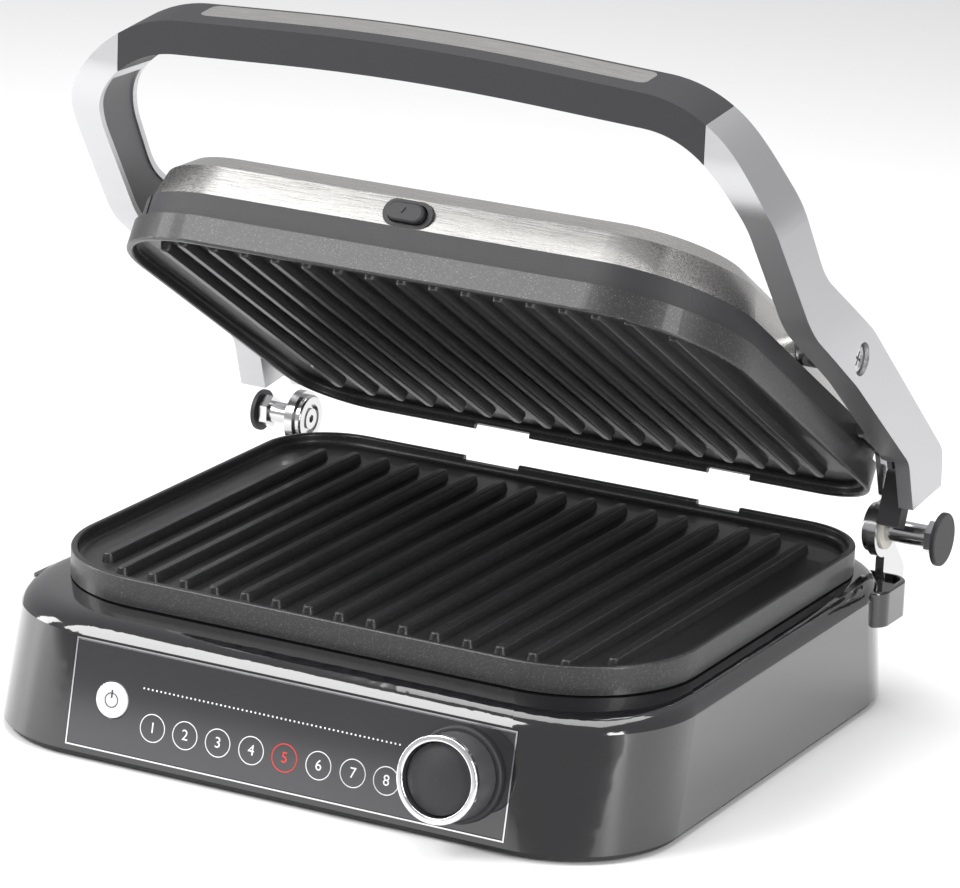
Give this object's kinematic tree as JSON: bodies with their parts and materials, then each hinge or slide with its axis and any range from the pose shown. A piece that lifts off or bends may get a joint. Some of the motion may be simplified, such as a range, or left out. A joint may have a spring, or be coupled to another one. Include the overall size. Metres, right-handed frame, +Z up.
{
  "type": "electric contact grill",
  "caption": "Electric contact grill: low base with a ribbed plate, knob panel and rear hinges, and a floating lid with a ribbed plate on a bail handle.",
  "frame": {"origin": "on the table, under the middle of the overall box of the half-open grill (knob included)", "axes": "+X to the grill's right as its user faces it, +Y to the hinge side at the rear, +Z up"},
  "size_m": [0.3434, 0.3154, 0.3046],
  "materials": {
    "gloss_black": "gloss black moulded plastic",
    "satin_black": "satin black plastic",
    "plate_coating": "cast aluminium with a black non-stick coating, fine speckle",
    "steel_brushed": "brushed stainless steel",
    "cast_arms": "satin cast aluminium",
    "arm_lining": "fine-textured grey plastic",
    "bright_steel": "bright plated steel",
    "knob_metal": "polished metal",
    "knob_grey": "satin grey metal",
    "panel_glass": "smoked gloss panel",
    "button_white": "white silver button",
    "inner_plastic": "heat-proof plastic",
    "circuit_board": "circuit board",
    "heater_tube": "heating element sheath",
    "reflector": "bright aluminised sheet",
    "rubber": "black rubber"
  },
  "bodies": {
    "base": {"base_shell": "gloss_black", "base_deck": "gloss_black", "bottom_cover": "satin_black", "rubber_feet": "rubber", "bottom_screws": "bright_steel", "control_panel": "panel_glass", "panel_bezel": "knob_metal", "panel_tray": "inner_plastic", "control_board": "circuit_board", "power_board": "circuit_board", "knob_base": "satin_black", "knob_encoder": "inner_plastic", "power_switch": "inner_plastic", "cord_gland": "satin_black", "hinge_housing_right": "gloss_black", "hinge_housing_left": "gloss_black", "hinge_bracket_right": "bright_steel", "hinge_bracket_left": "bright_steel", "hinge_bolts": "bright_steel", "hinge_washers": "inner_plastic", "hinge_nuts": "bright_steel", "lower_heater": "heater_tube", "lower_heater_holders": "bright_steel", "lower_reflector": "reflector", "plate_sensor": "inner_plastic", "lower_plate_catches": "bright_steel"},
    "arms": {"arm_right": "cast_arms", "arm_left": "cast_arms", "arm_cover_right": "arm_lining", "arm_cover_left": "arm_lining", "grip_top": "satin_black", "grip_lower": "satin_black", "grip_inlay": "steel_brushed", "hub_caps": "satin_black", "pivot_bushes": "inner_plastic", "lever_pin": "bright_steel"},
    "lid": {"lid_cover": "steel_brushed", "lid_frame": "satin_black", "lid_button_bezel": "satin_black", "upper_reflector": "reflector", "upper_heater": "heater_tube", "upper_heater_holders": "bright_steel", "lid_thermostat": "inner_plastic", "upper_plate_catches": "bright_steel", "lid_pivot_brackets": "bright_steel", "lid_pivot_bolts": "bright_steel", "lid_stop_tabs": "bright_steel"},
    "upper_plate": {"upper_plate": "plate_coating"},
    "lower_plate": {"lower_plate": "plate_coating"},
    "release_lever": {"hinge_release_lever": "satin_black"},
    "lid_button": {"lid_button": "satin_black"},
    "side_button": {"lower_plate_button": "gloss_black"},
    "knob": {"knob_body": "knob_grey", "knob_ring": "knob_metal"},
    "knob_cap": {"knob_push_cap": "satin_black"},
    "power_button": {"power_button": "button_white"}
  },
  "joints": [
    {"name": "arm_hinge", "type": "hinge", "parent": "base", "child": "arms", "pos_m": [0, 0.13082, 0.075], "axis": [-1, 0, 0], "range_deg": [-37.7, 67.3]},
    {"name": "lid_tilt", "type": "hinge", "parent": "arms", "child": "lid", "pos_m": [0, 0.04625, 0.17474], "axis": [-1, 0, 0], "range_deg": [-10.9, 6.1]},
    {"name": "release_lever_swing", "type": "hinge", "parent": "arms", "child": "release_lever", "pos_m": [0.15125, 0.12542, 0.1014], "axis": [-1, 0, 0], "range_deg": [0, 18], "stiffness_Nm_per_rad": 0.04, "springref_deg": -17.19},
    {"name": "upper_plate_release", "type": "slide", "parent": "lid", "child": "upper_plate", "axis": [0, -0.525, -0.8511], "range_m": [0, 0.012]},
    {"name": "lid_button_press", "type": "slide", "parent": "lid", "child": "lid_button", "axis": [0, 0.8511, -0.525], "range_m": [0, 0.0025], "stiffness_N_per_m": 400, "springref_m": -0.002},
    {"name": "lower_plate_lift", "type": "slide", "parent": "base", "child": "lower_plate", "axis": [0, 0, 1], "range_m": [0, 0.012]},
    {"name": "side_button_press", "type": "slide", "parent": "base", "child": "side_button", "axis": [1, 0, 0], "range_m": [0, 0.0025], "stiffness_N_per_m": 400, "springref_m": -0.002},
    {"name": "knob_turn", "type": "hinge", "parent": "base", "child": "knob", "pos_m": [0.07685, -0.14355, 0.03077], "axis": [0, -0.9822, 0.1879], "continuous": true},
    {"name": "knob_press", "type": "slide", "parent": "knob", "child": "knob_cap", "axis": [0, 0.9822, -0.1879], "range_m": [0, 0.0012], "stiffness_N_per_m": 600, "springref_m": -0.0015},
    {"name": "power_press", "type": "slide", "parent": "base", "child": "power_button", "axis": [0, 0.9822, -0.1879], "range_m": [0, 0.0008], "stiffness_N_per_m": 600, "springref_m": -0.0015}
  ],
  "couplings": [
    {"joint": "lid_tilt", "follows": "arm_hinge", "ratio": -0.15995}
  ]
}
